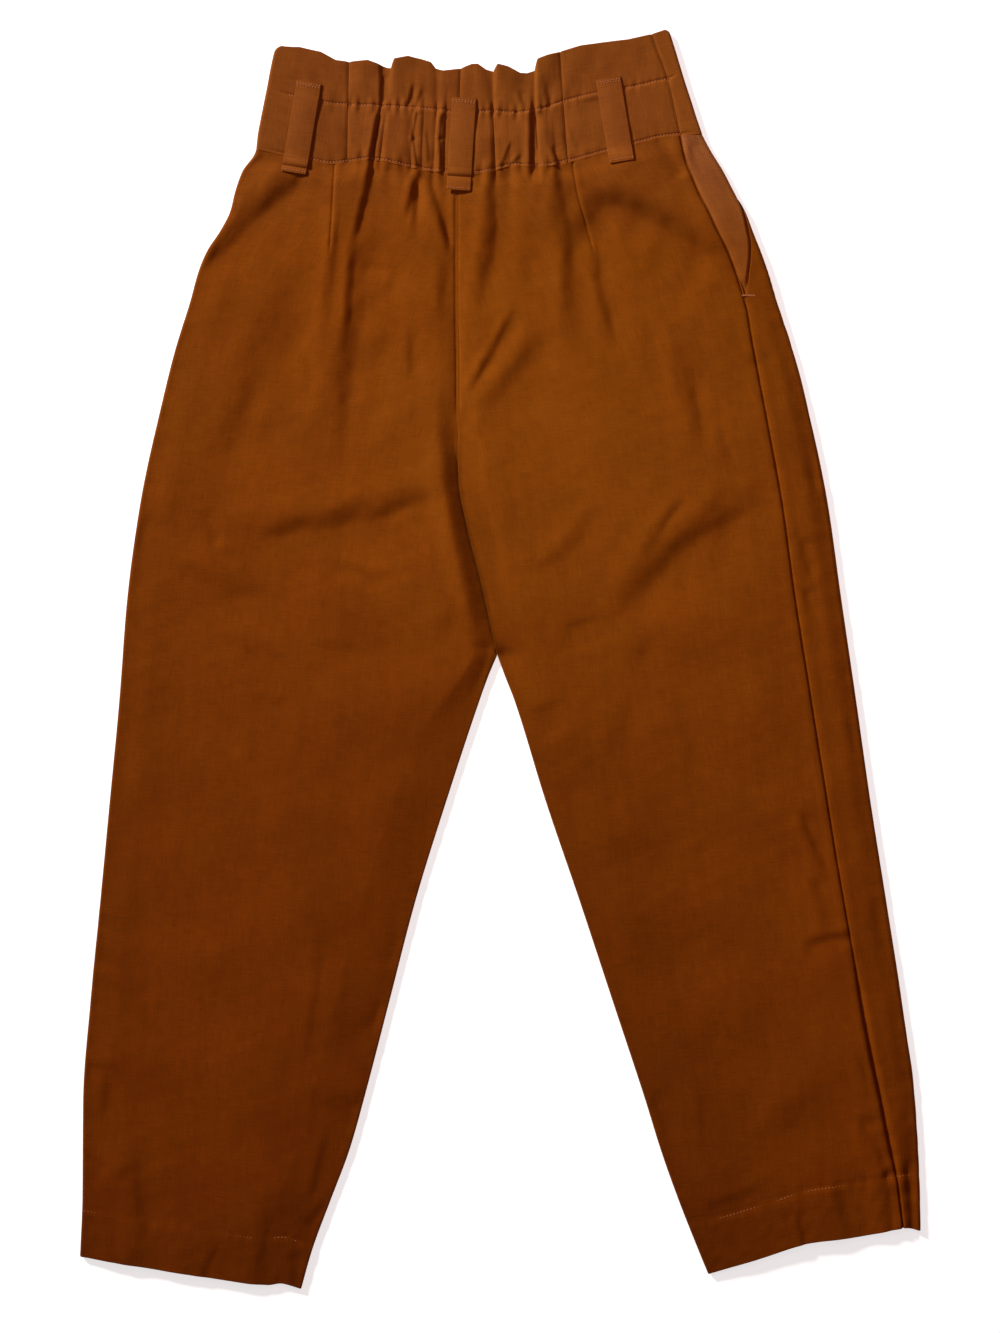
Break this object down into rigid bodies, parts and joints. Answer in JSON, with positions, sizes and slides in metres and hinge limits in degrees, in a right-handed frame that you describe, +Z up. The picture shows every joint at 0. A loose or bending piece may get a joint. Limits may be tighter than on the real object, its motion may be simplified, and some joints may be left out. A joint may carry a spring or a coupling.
{
  "type": "paperbag waist trousers",
  "caption": "Tapered cropped trousers with a gathered paperbag waistband, ruffle, belt loops and side pockets, lying flat with the back uppermost.",
  "frame": {"origin": "middle of the bounding box at the surface that the garment lies on", "axes": "+X across the garment towards its right leg, +Y from the hems to the waist, +Z up from the surface, through the front to the back"},
  "size_m": [0.6732, 1.0072, 0.01],
  "materials": {
    "panel": "rust-brown linen and cotton plain weave, matt",
    "facing": "the same cloth, inside the pocket, matt",
    "band": "the same cloth, doubled, matt",
    "loop": "the same cloth, folded and stitched, matt"
  },
  "bodies": {
    "root": {"back_left": "panel", "back_right": "panel", "front_left": "panel", "front_right": "panel", "pocket_facing_left": "facing", "pocket_facing_right": "facing", "band_back_left": "band", "band_back_right": "band", "band_side_left": "band", "band_side_right": "band", "band_front": "band", "belt_loop_left": "loop", "belt_loop_centre": "loop", "belt_loop_right": "loop"}
  },
  "joints": []
}
